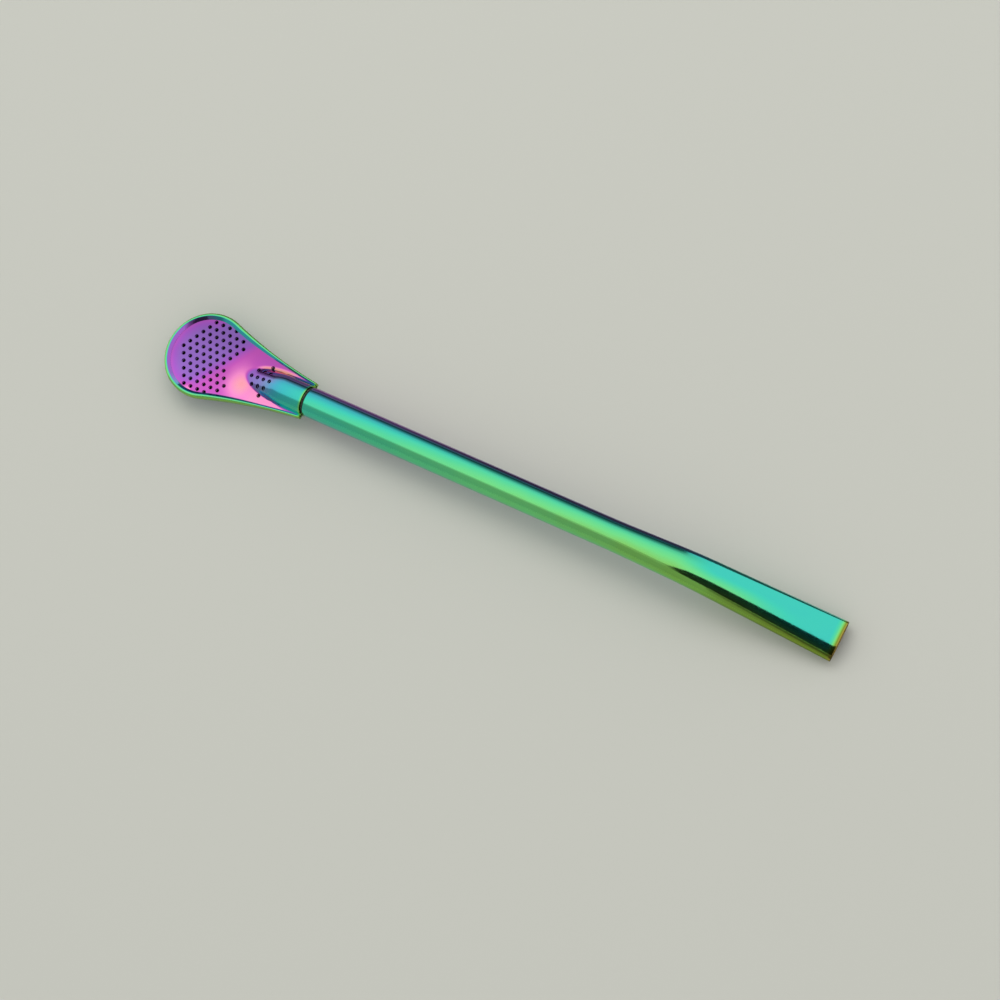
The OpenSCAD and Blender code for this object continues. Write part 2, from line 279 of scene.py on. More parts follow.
# Stainless steel polished to a mirror, with a clear oxide film grown on it in a vacuum chamber.
# The eye sees a saturated rainbow metal, whose colour follows the film's thickness from rust through
# violet and blue to green, over sharp reflections, faint clouds and hairline polishing marks.
film_colours = [
    (0.00, "#A85A3C"), (0.06, "#E69C86"), (0.12, "#FEA2B8"), (0.18, "#F58CCB"), (0.24, "#C75ABC"),
    (0.30, "#A65CC6"), (0.36, "#9269C0"), (0.42, "#8C80C8"), (0.47, "#7E93C6"), (0.52, "#64A4CC"),
    (0.57, "#4DB4CC"), (0.62, "#43C2C6"), (0.67, "#45D2B8"), (0.73, "#5CDA9E"), (0.78, "#76E08A"),
    (0.83, "#8CCB5C"), (0.88, "#86A038"), (0.94, "#C0B050"), (1.00, "#8A4A2E"),
]


def filmed_steel(name, stretch):
    """Mirror-polished filmed steel, with polishing marks drawn out along each axis by stretch."""
    cloud_mm = 7.0
    cloud_order = 0.03
    mark_mm = 0.16
    mark_depth_mm = 0.0006
    polish = 0.09
    polish_spread = 0.1
    mark_low, mark_high = 0.45, 0.8
    material = bpy.data.materials.new(name)
    material.use_nodes = True
    tree = material.node_tree
    shader = tree.nodes["Principled BSDF"]
    place = add(tree, "ShaderNodeTexCoord").outputs["Object"]
    film = add(tree, "ShaderNodeAttribute", {"attribute_name": "film"}).outputs["Fac"]
    cloud = add(tree, "ShaderNodeTexNoise", {}, {"Vector": place, "Scale": 1 / (cloud_mm * MM), "Detail": 3.0})
    drift = add(tree, "ShaderNodeMath", {"operation": "MULTIPLY_ADD"},
                {0: cloud.outputs["Fac"], 1: cloud_order, 2: -cloud_order / 2})
    order = add(tree, "ShaderNodeMath", {"operation": "ADD"}, {0: film, 1: drift.outputs[0]})
    ramp = add(tree, "ShaderNodeValToRGB", {}, {"Fac": order.outputs[0]})
    stops = ramp.color_ramp.elements
    for position, _ in film_colours[1:-1]:
        stops.new(position)
    for stop, (position, colour) in zip(stops, film_colours):
        stop.position = position
        stop.color = linear(colour)
    # The depth attribute is painted shade and light. It darkens the film's colour where shade and dark reflections
    # fall, and lightens it on the strainer's near side.
    depth = add(tree, "ShaderNodeAttribute", {"attribute_name": "depth"}).outputs["Fac"]
    colour = add(tree, "ShaderNodeVectorMath", {"operation": "SCALE"}, {0: ramp.outputs["Color"], "Scale": depth})
    drawn = add(tree, "ShaderNodeMapping", {}, {"Vector": place, "Scale": [1 / s for s in stretch]})
    marks = add(tree, "ShaderNodeTexNoise", {},
                {"Vector": drawn.outputs[0], "Scale": 1 / (mark_mm * MM), "Detail": 2.0})
    rough = add(tree, "ShaderNodeMapRange", {},
                {"Value": marks.outputs["Fac"], "From Min": mark_low, "From Max": mark_high,
                 "To Min": polish, "To Max": polish + polish_spread})
    bump = add(tree, "ShaderNodeBump", {},
               {"Height": marks.outputs["Fac"], "Distance": mark_depth_mm * MM, "Strength": 1.0})
    tree.links.new(colour.outputs[0], shader.inputs["Base Color"])
    tree.links.new(rough.outputs[0], shader.inputs["Roughness"])
    tree.links.new(bump.outputs[0], shader.inputs["Normal"])
    shader.inputs["Metallic"].default_value = 1.0
    return material


# The same steel inside, where no polishing wheel and no film reached it.
# The eye sees a dull dark grey through the holes and in the mouth, with no clear reflection.
unpolished = bpy.data.materials.new("unpolished_steel")
unpolished.use_nodes = True
tree = unpolished.node_tree
shader = tree.nodes["Principled BSDF"]
scale_mm = 0.4
scale_rough = 0.6
facing = 0.05
place = add(tree, "ShaderNodeTexCoord").outputs["Object"]
scale = add(tree, "ShaderNodeTexNoise", {}, {"Vector": place, "Scale": 1 / (scale_mm * MM), "Detail": 3.0})
tint = add(tree, "ShaderNodeMixRGB", {},
           {"Fac": scale.outputs["Fac"], "Color1": linear("#4A4746"), "Color2": linear("#6A6662")})
tree.links.new(tint.outputs[0], shader.inputs["Base Color"])
shader.inputs["Metallic"].default_value = 1.0
shader.inputs["Roughness"].default_value = scale_rough


def leave_inside(piece, inside):
    """Gives the unpolished steel to the faces that inside(face) names."""
    piece.data.materials.append(unpolished)
    for face in piece.data.polygons:
        if inside(face):
            face.material_index = 1


back.data.materials.append(filmed_steel("filmed_steel_sheet", stretch=(9, 1, 3)))
leave_inside(back, lambda face: face.normal.z > facing and face.center.z < (plate_z - seam / 2) * MM)
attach(back, "spoon")
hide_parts("bowl_back")

# The strainer is a punched and pressed plate of the same sheet: 69 holes in the bowl and 12 at the neck.
# It is flat, with a half-round channel pressed up at the neck, over the straw's end.
# Its edge sits in the rim's groove, and each hole has the rolled edge that a punch leaves.
hole_r = 0.425
hole_pitch = 1.88
first_hole = 6.7
row_holes = [7, 7, 7, 7, 6, 4]
neck_first_hole = 12.6
neck_row_pitch = 1.83
neck_holes = [4, 3, 1]
neck_row_start = [0, 0.5, 2]
nose_fall = math.radians(20.5)
channel_bend_r = 5.0
nose_fillet = 0.7
barrel_fillet = 1.8
foot_fall = 1.5
crest_ease = 0.45
hole_round = 0.07
hole_sides = 28
hole_clear = 2.5
round_steps = 3
flat_grid = 0.55
neck_grid = 0.17
fine_from = 10.0
inside_only = 1
same_spot = 1e-6
row_step = hole_pitch * math.sin(math.pi / 3)
elbow_back = barrel_len + channel_bend_r * math.tan((nose_fall - straw_rise) / 2)
elbow_x = neck_x - elbow_back * math.cos(straw_rise)
elbow_z = neck_z - elbow_back * math.sin(straw_rise)

hole_places = []
for row in range(1 - len(row_holes), len(row_holes)):
    for i in range(row_holes[abs(row)]):
        hole_places.append(Vector(((i + abs(row) / 2) * hole_pitch - first_hole, row * row_step)))
for row in range(1 - len(neck_holes), len(neck_holes)):
    for i in range(neck_holes[abs(row)]):
        x = neck_first_hole + (i + neck_row_start[abs(row)]) * hole_pitch
        hole_places.append(Vector((x, row * neck_row_pitch)))


def ease(a, b, width):
    """What is added to the higher of two heights, or taken from the lower, to round the corner between them."""
    near = max(0.0, 1 - abs(a - b) / width)
    return near * near * width / 4


def plate_height(x, y):
    """Top of the strainer: a flat plate with the channel's barrel and nose, and a fillet along their foot."""
    arch = math.sqrt(max(0.0, neck_r * neck_r - y * y)) - foot_fall * max(0.0, abs(y) - neck_r)
    barrel = neck_z - (neck_x - x) * slope + arch
    nose = elbow_z - (elbow_x - x) * math.tan(nose_fall) + arch / math.cos(nose_fall)
    channel = min(barrel, nose) - ease(barrel, nose, crest_ease)
    fillet = mix(nose_fillet, barrel_fillet, smooth((x - elbow_x + barrel_len / 2) / barrel_len))
    return max(plate_top, channel) + ease(plate_top, channel, fillet)


def plate_normal(x, y):
    """Direction square to the plate's top."""
    step = 0.02
    rise = (plate_height(x + step, y) - plate_height(x - step, y)) / (2 * step)
    tilt = (plate_height(x, y + step) - plate_height(x, y - step)) / (2 * step)
    return Vector((-rise, -tilt, 1)).normalized()


def plate_point(x, y, depth, outward=Vector((0, 0)), reach=0.0):
    """A point below the plate's top by depth, square to its surface, and out past its edge by reach."""
    top = Vector((x + outward.x * reach, y + outward.y * reach, plate_height(x, y)))
    point = top - plate_normal(x, y) * depth
    square = smooth((x - neck_x + barrel_len) / barrel_len)
    point.x -= (point.z - neck_z) * slope * square
    return point


edge_inset = flange + hole_round
half_edge = []
for u in [-1 + i / arc_steps for i in range(1, arc_steps)] + [i / side_steps for i in range(side_steps + 1)]:
    foot, edge, share = station(u)
    inward = Vector((foot, 0)) - edge
    half_edge.append(edge + inward * (edge_inset / inward.length))
half_edge[-1].x = neck_x - hole_round
tip = Vector((edge_inset - bowl_r, 0))
plate_edge = [tip] + half_edge + [Vector((p.x, -p.y)) for p in half_edge[::-1]]


def half_width(x):
    """Half of the plate's width at a distance from the middle of the bowl."""
    line = [tip] + half_edge
    for a, b in zip(line, line[1:]):
        if a.x <= x <= b.x and b.x > a.x:
            return mix(a.y, b.y, (x - a.x) / (b.x - a.x))
    return 0.0


loops = [plate_edge]
for place in hole_places:
    turns = [2 * math.pi * i / hole_sides for i in range(hole_sides)]
    loops.append([place + (hole_r + hole_round) * Vector((math.cos(a), -math.sin(a))) for a in turns])
plan = []
plan_edges = []
owner = []
for k, loop in enumerate(loops):
    first = len(plan)
    plan += loop
    owner += [k] * len(loop)
    plan_edges += [(first + i, first + (i + 1) % len(loop)) for i in range(len(loop))]
hole_room = hole_r + hole_clear * hole_round
x = -bowl_r
while x < neck_x - neck_grid:
    grid = flat_grid if x < fine_from else neck_grid
    width = half_width(x) - grid / 2
    count = int(width / grid) if width > 0 else -1
    for i in range(-count, count + 1):
        spot = Vector((x, i * grid))
        if all((spot - place).length > hole_room for place in hole_places):
            plan.append(spot)
            owner.append(None)
    x += grid
spots, _, triangles, origin, _, _ = delaunay_2d_cdt(plan, plan_edges, [], inside_only, same_spot)
owners = [owner[o[0]] if o else None for o in origin]
triangles = [t for t in triangles if owners[t[0]] in (None, 0) or len({owners[i] for i in t}) > 1]
count = len(spots)
points = [plate_point(p.x, p.y, 0.0) for p in spots] + [plate_point(p.x, p.y, sheet) for p in spots]
faces = [tuple(t) for t in triangles] + [tuple(count + i for i in t[::-1]) for t in triangles]
new_place = {o[0]: i for i, o in enumerate(origin) if o}
first = 0
for loop in loops:
    rings = []
    for turn in range(round_steps * 2 + 2):
        over_top = turn <= round_steps
        a = math.pi / 2 * (turn if over_top else turn - 1 - round_steps) / round_steps
        reach = hole_round * (math.sin(a) if over_top else math.cos(a))
        sunk = hole_round * (1 - math.cos(a)) if over_top else sheet - hole_round * (1 - math.sin(a))
        ring = []
        for i, spot in enumerate(loop):
            if turn in (0, round_steps * 2 + 1):
                ring.append(new_place[first + i] + (count if turn else 0))
                continue
            along = loop[(i + 1) % len(loop)] - loop[i - 1]
            outward = Vector((-along.y, along.x)).normalized()
            ring.append(len(points))
            points.append(plate_point(spot.x, spot.y, sunk, outward, reach))
        rings.append(ring)
    for a, b in zip(rings, rings[1:]):
        faces += [(a[i], a[(i + 1) % len(a)], b[(i + 1) % len(b)], b[i]) for i in range(len(a))]
    first += len(loop)
plate = solid("strainer_face", points, faces)

violet = 0.36
magenta = 0.245
pink = 0.165
salmon = 0.11
orange = 0.06
side_skew = 0.7
magenta_from, magenta_len = 2.0, 5.0
edge_magenta = 0.09
edge_from, edge_len = 6.2, 3.2
patch_place = Vector((11.2, -3.0))
patch_size = (3.2, 3.4)
pink_from, pink_len = 12.0, 3.0
foot_off, foot_w = 0.2, 0.9
nose_orders = [(12.0, 0.37), (16.0, 0.43), (18.0, 0.49), (20.0, 0.56), (22.0, 0.61), (28.0, 0.665)]
far_drop = 1.1
flank_power = 1.2
near_gain = 0.08
mask_rise = 0.3
# Painted light and shade on the strainer, stored as depth: its colour is darker towards the far side, lighter
# towards the near side, and darker on the channel's flanks as they lean away.
far_painted_shade, far_painted_shade_w = 0.2, 7.0
near_painted_light, near_painted_light_from, near_painted_light_w = 0.16, 1.0, 6.0
channel_far_painted_shade, channel_far_lean = 0.35, 0.8
channel_near_painted_shade, channel_near_lean = 0.15, 0.9


def plate_film(place, _):
    """Violet over the holes, then magenta and a salmon patch, and violet to teal along the channel's crest."""
    x, y = place.x, place.y
    normal = plate_normal(x, y)
    order = mix(violet, magenta, smooth((x - side_skew * y - magenta_from) / magenta_len))
    if x < 0:
        order -= edge_magenta * smooth((place.xy.length - edge_from) / edge_len)
    off = place.xy - patch_place
    order = mix(order, salmon, math.exp(-(off.x / patch_size[0]) ** 2 - (off.y / patch_size[1]) ** 2))
    past_patch = smooth((x - pink_from) / pink_len)
    if y < 0:
        order = mix(order, pink, past_patch)
    rise = max(0.0, (x - elbow_x) * math.tan(nose_fall) + elbow_z - plate_top + neck_r / math.cos(nose_fall))
    foot = math.sqrt(max(0.0, neck_r ** 2 - max(0.0, neck_r - rise) ** 2))
    order = mix(order, orange, past_patch * smooth(1 - abs(y - foot - foot_off) / foot_w))
    crest = nose_orders[0][1]
    for (x0, order0), (x1, order1) in zip(nose_orders, nose_orders[1:]):
        crest = mix(order0, order1, (x - x0) / (x1 - x0)) if x > x0 else crest
    flank = 1 - normal.z
    channel = crest + near_gain * flank if y < 0 else max(0.0, crest - far_drop * flank ** flank_power)
    raised = smooth((plate_height(x, y) - plate_top) / mask_rise)
    # Painted shade and light: the plate darkens towards its far side and lightens towards its near side, and the
    # channel's flanks darken as they lean to either side.
    depth = 1 - far_painted_shade * smooth(y / far_painted_shade_w) + near_painted_light * smooth((-y - near_painted_light_from) / near_painted_light_w)
    if y > 0:
        dim = channel_far_painted_shade * smooth(normal.y / channel_far_lean)
    else:
        dim = channel_near_painted_shade * smooth(-normal.y / channel_near_lean)
    depth = mix(depth, 1 - dim, raised)
    order = mix(order, channel, raised)
    end = neck_x - (place.z - neck_z) * slope - x
    return mix(order, cut_order, smooth(1 - end / cut_edge)), depth


film_and_painted_shade(plate, plate_film)
plate.data.materials.append(filmed_steel("filmed_steel_strainer", stretch=(4, 1, 2)))
leave_inside(plate, lambda face: face.normal.z < -facing)
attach(plate, "spoon")
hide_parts("strainer_plate")

# The nut is a short bush turned from bar and brazed into the neck, with a round thread inside.
# The straw's spigot screws into it. It is left plain, because the film doesn't reach inside the neck.
nut_r = 3.21
nut_len = 5.8
thread_pitch = 1.0
thread_depth = 0.36
nut_thread_r = 2.67
turned_sides = 72
rings_per_turn = 20
chamfer = 0.12


def on_axis(along, across, up):
    """A point of the straw's own frame, whose axis starts at the middle of the neck's end."""
    x = neck_x + along * math.cos(straw_rise) - up * math.sin(straw_rise)
    return Vector((x, across, neck_z + along * math.sin(straw_rise) + up * math.cos(straw_rise)))


def turned_ring(along, radius):
    """A ring about the straw's axis. The radius is a number, or worked out at each angle."""
    ring = []
    for i in range(turned_sides):
        a = 2 * math.pi * i / turned_sides
        r = radius(a) if callable(radius) else radius
        ring.append(on_axis(along, r * math.cos(a), r * math.sin(a)))
    return ring


def thread(along, mean, fade=1.0):
    """The thread's radius at a place along it, as a function of the angle."""
    def radius(angle):
        wave = math.cos(2 * math.pi * along / thread_pitch - angle)
        return mean - thread_depth / 2 + thread_depth / 2 * (1 + wave) * fade
    return radius


steps = int(nut_len / thread_pitch * rings_per_turn)
rings = [turned_ring(-nut_len, nut_r - chamfer), turned_ring(-nut_len + chamfer, nut_r)]
rings += [turned_ring(-chamfer, nut_r), turned_ring(0, nut_r - chamfer)]
rings += [turned_ring(-nut_len * i / steps, thread(-nut_len * i / steps, nut_thread_r)) for i in range(steps + 1)]
nut = skin("neck_nut_turned", rings, closed=True)


# Stainless bar turned on a lathe and not polished.
# The eye sees grey metal with fine rings round it, which spread each highlight across them.
def turned_steel(name, colour):
    """Turned steel of a colour that darkens in the grooves between its rings."""
    ring_mm = 0.09
    ring_depth_mm = 0.002
    ring_stretch = 50
    groove_colour = "#8E8B86"
    least_rough, most_rough = 0.22, 0.42
    material = bpy.data.materials.new(name)
    material.use_nodes = True
    tree = material.node_tree
    shader = tree.nodes["Principled BSDF"]
    place = add(tree, "ShaderNodeTexCoord").outputs["Object"]
    across = add(tree, "ShaderNodeMapping", {}, {"Vector": place, "Scale": (1, 1 / ring_stretch, 1 / ring_stretch)})
    marks = add(tree, "ShaderNodeTexNoise", {},
                {"Vector": across.outputs[0], "Scale": 1 / (ring_mm * MM), "Detail": 3.0})
    tint = add(tree, "ShaderNodeMixRGB", {},
               {"Fac": marks.outputs["Fac"], "Color1": linear(colour), "Color2": linear(groove_colour)})
    rough = add(tree, "ShaderNodeMapRange", {},
                {"Value": marks.outputs["Fac"], "To Min": least_rough, "To Max": most_rough})
    bump = add(tree, "ShaderNodeBump", {}, {"Height": marks.outputs["Fac"], "Distance": ring_depth_mm * MM})
    tree.links.new(tint.outputs[0], shader.inputs["Base Color"])
    tree.links.new(rough.outputs[0], shader.inputs["Roughness"])
    tree.links.new(bump.outputs[0], shader.inputs["Normal"])
    shader.inputs["Metallic"].default_value = 1.0
    return material


nut.data.materials.append(turned_steel("turned_steel_nut", "#C4C1BB"))
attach(nut, "spoon")
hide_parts("neck_nut")

# The washer is a thin ring cut from dark silicone sheet. It is slipped over the spigot
# and pinched between the neck's lip and the straw's shoulder, where it shows as a dark line.
washer_t = 0.3
washer_gap = 0.04
washer_r = 3.4
washer_bore_r = 2.77
washer_round = 0.08
washer_steps = 4
joint_gap = washer_t + 2 * washer_gap

rings = []
corners = [(washer_r, washer_t, 0), (washer_r, 0, 1), (washer_bore_r, 0, 2), (washer_bore_r, washer_t, 3)]
for r, along, quarter in corners:
    for i in range(washer_steps + 1):
        a = -math.pi / 2 * (quarter + i / washer_steps)
        middle_r = r + washer_round * (-1 if r == washer_r else 1)
        middle = along + washer_round * (-1 if along else 1)
        rings.append(turned_ring(washer_gap + middle + washer_round * math.cos(a),
                                 middle_r - washer_round * math.sin(a)))
washer = skin("silicone_washer", rings, closed=True)

# Food-grade silicone rubber, cut and not moulded.
# The eye sees a matt near-black ring with a dusty grain and a weak, broad sheen.
material = bpy.data.materials.new("silicone_rubber")
material.use_nodes = True
tree = material.node_tree
shader = tree.nodes["Principled BSDF"]
grain_mm = 0.12
grain_depth_mm = 0.01
rubber_rough = 0.62
rubber_ior = 1.41
place = add(tree, "ShaderNodeTexCoord").outputs["Object"]
grain = add(tree, "ShaderNodeTexNoise", {}, {"Vector": place, "Scale": 1 / (grain_mm * MM), "Detail": 4.0})
dusty = add(tree, "ShaderNodeMixRGB", {},
            {"Fac": grain.outputs["Fac"], "Color1": linear("#17191A"), "Color2": linear("#33373A")})
bump = add(tree, "ShaderNodeBump", {}, {"Height": grain.outputs["Fac"], "Distance": grain_depth_mm * MM})
tree.links.new(dusty.outputs[0], shader.inputs["Base Color"])
tree.links.new(bump.outputs[0], shader.inputs["Normal"])
shader.inputs["Roughness"].default_value = rubber_rough
shader.inputs["IOR"].default_value = rubber_ior
washer.data.materials.append(material)
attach(washer, "washer")
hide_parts("sealing_washer")

# The spigot is the straw's threaded lower end, turned and bored from bar and fixed 6 mm deep in the straw.
# Its round thread runs out at the tip, so that it starts in the nut without catching.
spigot_thread_r = 2.55
spigot_bore_r = 1.91
spigot_grip = 6.0
bore_r = 3.1
thread_turns = 5
thread_len = thread_turns * thread_pitch

rings = [turned_ring(-thread_len, spigot_thread_r - thread_depth / 2 - chamfer)]
steps = int((thread_len + joint_gap) / thread_pitch * rings_per_turn)
for i in range(steps + 1):
    along = mix(-thread_len + chamfer, joint_gap, i / steps)
    fade = smooth((along + thread_len) / (thread_pitch / 2))
    rings.append(turned_ring(along, thread(along, spigot_thread_r, fade)))
rings += [turned_ring(joint_gap, bore_r - seam), turned_ring(joint_gap + spigot_grip, bore_r - seam)]
rings += [turned_ring(joint_gap + spigot_grip, spigot_bore_r), turned_ring(-thread_len, spigot_bore_r)]
spigot = skin("screw_spigot_turned", rings, closed=True)
spigot.data.materials.append(turned_steel("turned_steel_spigot", "#CBC8C2"))
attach(spigot, "straw")
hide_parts("screw_spigot")

# The straw is a drawn stainless tube, 7.1 mm across. It is bent once near its top, and pressed from shortly
# before the bend to an oval mouth. Its lower end is rounded in to the washer, and its lip is rounded for the mouth.
tube_r = 3.55
tube_wall = 0.45
shoulder_r = 0.3
straight_len = 96.0
bend_r = 45.0
mouth_len = 41.0
mouth_w = 9.8
mouth_h = 4.4
press_lead = 17.0
press_ease = 0.1
lip_r = 0.16
most_bend = math.radians(45)
halvings = 30
straw_sides = 112
straight_steps = 48
bend_steps = 24
mouth_steps = 44
shoulder_steps = 6
mouth_lip_steps = 5
bend_at = joint_gap + straight_len
lip_at = mouth_len - lip_r


def mouth_half(past):
    """Half the width and half the height of the straw, at a distance past the start of the bend."""
    u = max(0.0, (past + press_lead) / (mouth_len + press_lead))
    u = u * u / press_ease / 2 if u < press_ease else u - press_ease / 2
    u /= 1 - press_ease / 2
    return mix(tube_r, mouth_w / 2, u), mix(tube_r, mouth_h / 2, u)


low, high = straw_rise, most_bend
for _ in range(halvings):
    mouth_bend = (low + high) / 2
    fall = mouth_bend - straw_rise
    lip_z = neck_z + bend_at * math.sin(straw_rise) + bend_r * (math.cos(fall) - math.cos(straw_rise))
    lip_z -= (lip_at - bend_r * mouth_bend) * math.sin(fall) + mouth_half(lip_at)[1] * math.cos(fall)
    low, high = (mouth_bend, high) if lip_z > 0 else (low, mouth_bend)
bend_len = bend_r * mouth_bend


def straw_ring(along, depth):
    """A ring at a distance along the straw from the neck's end, at a depth inside its outer face."""
    past = max(0.0, along - bend_at)
    turn = min(past, bend_len) / bend_r
    run = min(along, bend_at) + bend_r * math.sin(turn) + max(0.0, past - bend_len) * math.cos(turn)
    drop = bend_r * (1 - math.cos(turn)) + max(0.0, past - bend_len) * math.sin(turn)
    half_w, half_h = mouth_half(along - bend_at)
    ring = []
    for i in range(straw_sides):
        a = 2 * math.pi * i / straw_sides
        up = (half_h - depth) * math.sin(a)
        across = (half_w - depth) * math.cos(a)
        ring.append(on_axis(run + up * math.sin(turn), across, up * math.cos(turn) - drop))
    return ring


shoulder = [math.pi / 2 * i / shoulder_steps for i in range(shoulder_steps + 1)]
lip = [math.pi / 2 * i / mouth_lip_steps for i in range(mouth_lip_steps + 1)]
straw_end = bend_at + mouth_len
stops = [mix(joint_gap + shoulder_r, bend_at, i / straight_steps) for i in range(1, straight_steps + 1)]
stops += [bend_at + bend_len * i / bend_steps for i in range(1, bend_steps + 1)]
stops += [mix(bend_at + bend_len, straw_end - lip_r, i / mouth_steps) for i in range(1, mouth_steps + 1)]
outline = [(joint_gap + shoulder_r * (1 - math.cos(a)), shoulder_r * (1 - math.sin(a))) for a in shoulder]
outline += [(along, 0.0) for along in stops]
outline += [(straw_end - lip_r * (1 - math.sin(a)), lip_r * (1 - math.cos(a))) for a in lip[1:]]
outline += [(straw_end - lip_r * (1 - math.cos(a)), tube_wall - lip_r * (1 - math.sin(a))) for a in lip]
outline += [(along, tube_wall) for along in stops[-2::-1]]
outline += [(joint_gap, tube_wall)]
straw = skin("straw_drawn", [straw_ring(along, depth) for along, depth in outline], closed=True)

# The film is thickest towards one side, on which the tube faced its source. Sides are told by the surface's lean,
# and each set of three values is for the neck's end, the middle and the bend.
film_side = Vector((0, -0.7, 0.714))
lean_shift, lean_range = 0.1, 1.05
far_orders = (0.47, 0.60, 0.62)
near_orders = (0.71, 0.785, 0.825)
under_gains = (-0.03, -0.012, 0.0)
under_from, under_w = 0.25, 0.5
far_starts = (0.0, 0.2, 0.16)
far_widths = (0.5, 0.24, 0.34)
# Painted shade, stored as depth: the film's colour is darkened down the far side, at its far edge and along the near
# underside. The dark band down the far side is partly the reflection of the stage's flags and partly this painted
# shade.
far_painted_shades = (0.8, 0.65, 0.7)
edge_orders = (0.28, 0.36, 0.43)
far_edge_from, far_edge_w = 0.56, 0.26
edge_painted_shade = 0.7
under_painted_shade = 0.92
mouth_order = 0.655
mouth_green = 0.11
green_from, green_len = 14.0, 20.0
green_side, green_side_w = 0.25, 0.45
mouth_near_orders = (0.83, 0.875)
mouth_near_len = 30.0
mouth_near_from, mouth_near_w = 0.2, 0.4
mouth_edge_from, mouth_edge_w = 0.75, 0.2
mouth_edge_painted_shade = 0.75
mouth_len_eased = 12.0
band_len = 2.2
band_order = 0.9
lip_order = 0.98
lip_len = 0.35
lip_painted_shade = 0.5


def three_way(values, u):
    """A value that changes evenly over three places, at 0, a half and 1."""
    low, middle, high = values
    return mix(low, middle, 2 * u) if u < 0.5 else mix(middle, high, 2 * u - 1)


def straw_film(place, normal):
    """Navy and dark teal down the far side, green on top and yellower at the near side; turquoise on the mouth."""
    along = place.x - neck_x
    u = max(0.0, min(1.0, along / bend_at))
    lean = max(0.0, min(1.0, (normal.dot(film_side) + lean_shift) / lean_range))
    under = smooth((-normal.y - under_from) / under_w)
    far = smooth((normal.y - three_way(far_starts, u)) / three_way(far_widths, u))
    edge = smooth((normal.y - far_edge_from) / far_edge_w)
    order = mix(three_way(far_orders, u), three_way(near_orders, u), lean) + three_way(under_gains, u) * under
    order = mix(order, three_way(edge_orders, u), edge)
    # Painted shade: darker down the far side, at its far edge and along the near underside.
    depth = mix(1.0, mix(three_way(far_painted_shades, u), edge_painted_shade, edge), far) * mix(1.0, under_painted_shade, under)
    past = along - bend_at
    mouth = smooth(past / mouth_len_eased)
    green = (1 - smooth((past - green_from) / green_len)) * smooth((green_side - normal.y) / green_side_w)
    top = mouth_order + mouth_green * green
    low = mix(*mouth_near_orders, smooth(past / mouth_near_len))
    order = mix(order, mix(top, low, smooth((-normal.y - mouth_near_from) / mouth_near_w)), mouth)
    # Painted shade: the mouth's edges are darkened.
    rim = smooth((abs(normal.y) - mouth_edge_from) / mouth_edge_w)
    depth = mix(depth, mix(1.0, mouth_edge_painted_shade, rim), mouth)
    left_over = mouth_reach - place.dot(mouth_axis)
    order = mix(band_order, order, smooth(left_over / band_len))
    # Painted reflection: the lip is turned to the film's dark brown and darkened by painted shade, standing for the
    # dark reflection along its edge.
    lip = smooth(left_over / lip_len)
    return mix(lip_order, order, lip), depth * mix(lip_painted_shade, 1.0, lip)


mouth_axis = Vector((math.cos(fall), 0, -math.sin(fall)))
mouth_reach = max(v.co.dot(mouth_axis) for v in straw.data.vertices) / MM
film_and_painted_shade(straw, straw_film)
straw.data.materials.append(filmed_steel("filmed_steel_tube", stretch=(60, 1, 1)))
bore_ring = next(i for i, (along, depth) in enumerate(outline) if depth == tube_wall)
leave_inside(straw, lambda face: face.index // straw_sides >= bore_ring)
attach(straw, "straw")
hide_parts("straw_tube")

# The stage is a plain pale table top under one large softbox. A grey wall on the near side and dark flags
# beside, over and on the table are seen by the metal's reflections alone. The units here are metres.
scene = bpy.context.scene
scene.view_settings.view_transform = "Standard"


def card(name, corners, colour):
    """A flat stage piece with an even colour of its own."""
    card_rough = 0.9
    card_sheen = 0.1
    mesh = bpy.data.meshes.new(name)
    mesh.from_pydata(corners, [], [(0, 1, 2, 3)])
    piece = bpy.data.objects.new(name, mesh)
    scene.collection.objects.link(piece)
    material = bpy.data.materials.new(name)
    material.use_nodes = True
    shader = material.node_tree.nodes["Principled BSDF"]
    shader.inputs["Base Color"].default_value = linear(colour)
    shader.inputs["Roughness"].default_value = card_rough
    shader.inputs["Specular IOR Level"].default_value = card_sheen
    mesh.materials.append(material)
    return piece


def upright(x0, x1, y, z0, z1):
    """Corners of a card that stands along the table."""
    return [(x0, y, z0), (x1, y, z0), (x1, y, z1), (x0, y, z1)]


def lying(x0, x1, y0, y1, z):
    """Corners of a card that lies level."""
    return [(x0, y0, z), (x1, y0, z), (x1, y1, z), (x0, y1, z)]


floor_half = 4.0
card("table_top", lying(-floor_half, floor_half, -floor_half, floor_half, 0), "#C3C4BB")

# Each flag has its corners, the axis that its brightness changes along, the part of its length over which
# it changes, and its brightness at the two ends of that part.
near_corners = [(0.2, -1.45, 0.15), (1.3, -1.45, 0.68), (1.3, -1.45, 1.2), (0.2, -1.45, 1.2)]
over_corners = [(-0.6, -1.2, 1.2), (0.8, -1.42, 1.2), (0.8, -0.1, 1.2), (0.0, -0.35, 1.2)]
flags = [
    ("near_wall", upright(-3, 3, -1.5, 0.001, 2.3), "Z", (0.62, 1.0), (0.48, 1.0)),
    ("near_flag", near_corners, "Z", (0, 1), (0.12, 0.12)),
    ("over_flag", over_corners, "X", (0.3, 0.0), (0.02, 1.0)),
    ("far_flag", upright(-3, -0.25, 1.5, 0.001, 1.1), "Z", (0.25, 1.0), (0.1, 1.0)),
    ("far_table", lying(-0.6, 0.2, 0.013, 1.5, 0.0005), "X", (0.75, 0.84), (0.35, 0.09)),
    ("end_table", lying(0.166, 0.6, -0.1, 0.1, 0.0004), "X", (0, 1), (0.04, 0.04)),
]
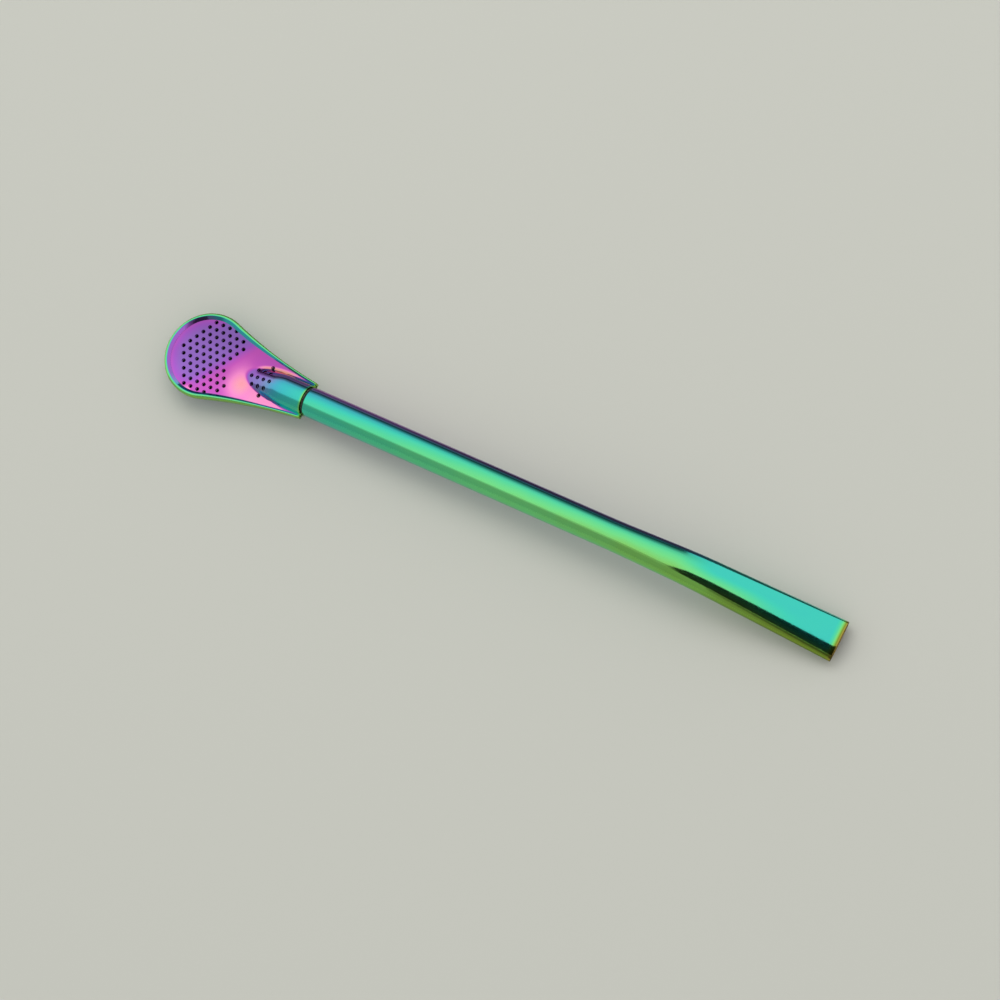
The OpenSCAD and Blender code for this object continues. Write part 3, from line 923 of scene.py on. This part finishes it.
for name, corners, axis, (start, stop), (level, end_level) in flags:
    flag = card(name, corners, "#000000")
    tree = flag.data.materials[0].node_tree
    shader = tree.nodes["Principled BSDF"]
    shader.inputs["Emission Color"].default_value = (1, 1, 1, 1)
    across = add(tree, "ShaderNodeSeparateXYZ", {}, {0: add(tree, "ShaderNodeTexCoord").outputs["Generated"]})
    strength = add(tree, "ShaderNodeMapRange", {},
                   {"Value": across.outputs[axis], "From Min": start, "From Max": stop,
                    "To Min": level, "To Max": end_level})
    tree.links.new(strength.outputs[0], shader.inputs["Emission Strength"])
    flag.visible_camera = False
    flag.visible_diffuse = False
    flag.visible_shadow = False

softbox_size = (1.1, 0.7)
softbox_watts = 3.8
softbox_aim = Vector((0.06, 0, 0))
softbox = bpy.data.objects.new("softbox", bpy.data.lights.new("softbox", "AREA"))
softbox.data.shape = "RECTANGLE"
softbox.data.size, softbox.data.size_y = softbox_size
softbox.data.energy = softbox_watts
softbox.location = (-0.1, 0.45, 0.95)
softbox.rotation_euler = (softbox_aim - softbox.location).to_track_quat("-Z", "Y").to_euler()
softbox.visible_glossy = False
scene.collection.objects.link(softbox)

# The world is even white where it is seen directly or in the metal, and a softer fill for the table.
fill = 0.8
world = bpy.data.worlds.new("studio")
world.use_nodes = True
scene.world = world
tree = world.node_tree
path = add(tree, "ShaderNodeLightPath")
seen = add(tree, "ShaderNodeMath", {"operation": "MAXIMUM"},
           {0: path.outputs["Is Camera Ray"], 1: path.outputs["Is Glossy Ray"]})
seen = add(tree, "ShaderNodeMath", {"operation": "MAXIMUM"},
           {0: seen.outputs[0], 1: path.outputs["Is Transmission Ray"]})
level = add(tree, "ShaderNodeMapRange", {}, {"Value": seen.outputs[0], "To Min": fill, "To Max": 1.0})
background = tree.nodes["Background"]
background.inputs["Color"].default_value = (1, 1, 1, 1)
tree.links.new(level.outputs[0], background.inputs["Strength"])

# The camera looks down on the strainer's face from the mouth's end and a little from the near side.
camera = bpy.data.objects.new("camera", bpy.data.cameras.new("camera"))
camera.data.lens = 118.8
camera.data.sensor_width = 36.0
camera.location = (0.3331342, -0.1225755, 0.693923)
sight = Vector((-0.33941237, 0.16134919, -0.92669611))
right_hand = Vector((0.85812029, 0.45662023, -0.23479254))
head_up = right_hand.cross(sight)
turn = Matrix((right_hand, head_up, -sight)).transposed()
camera.rotation_euler = turn.to_euler()
scene.collection.objects.link(camera)
scene.camera = camera
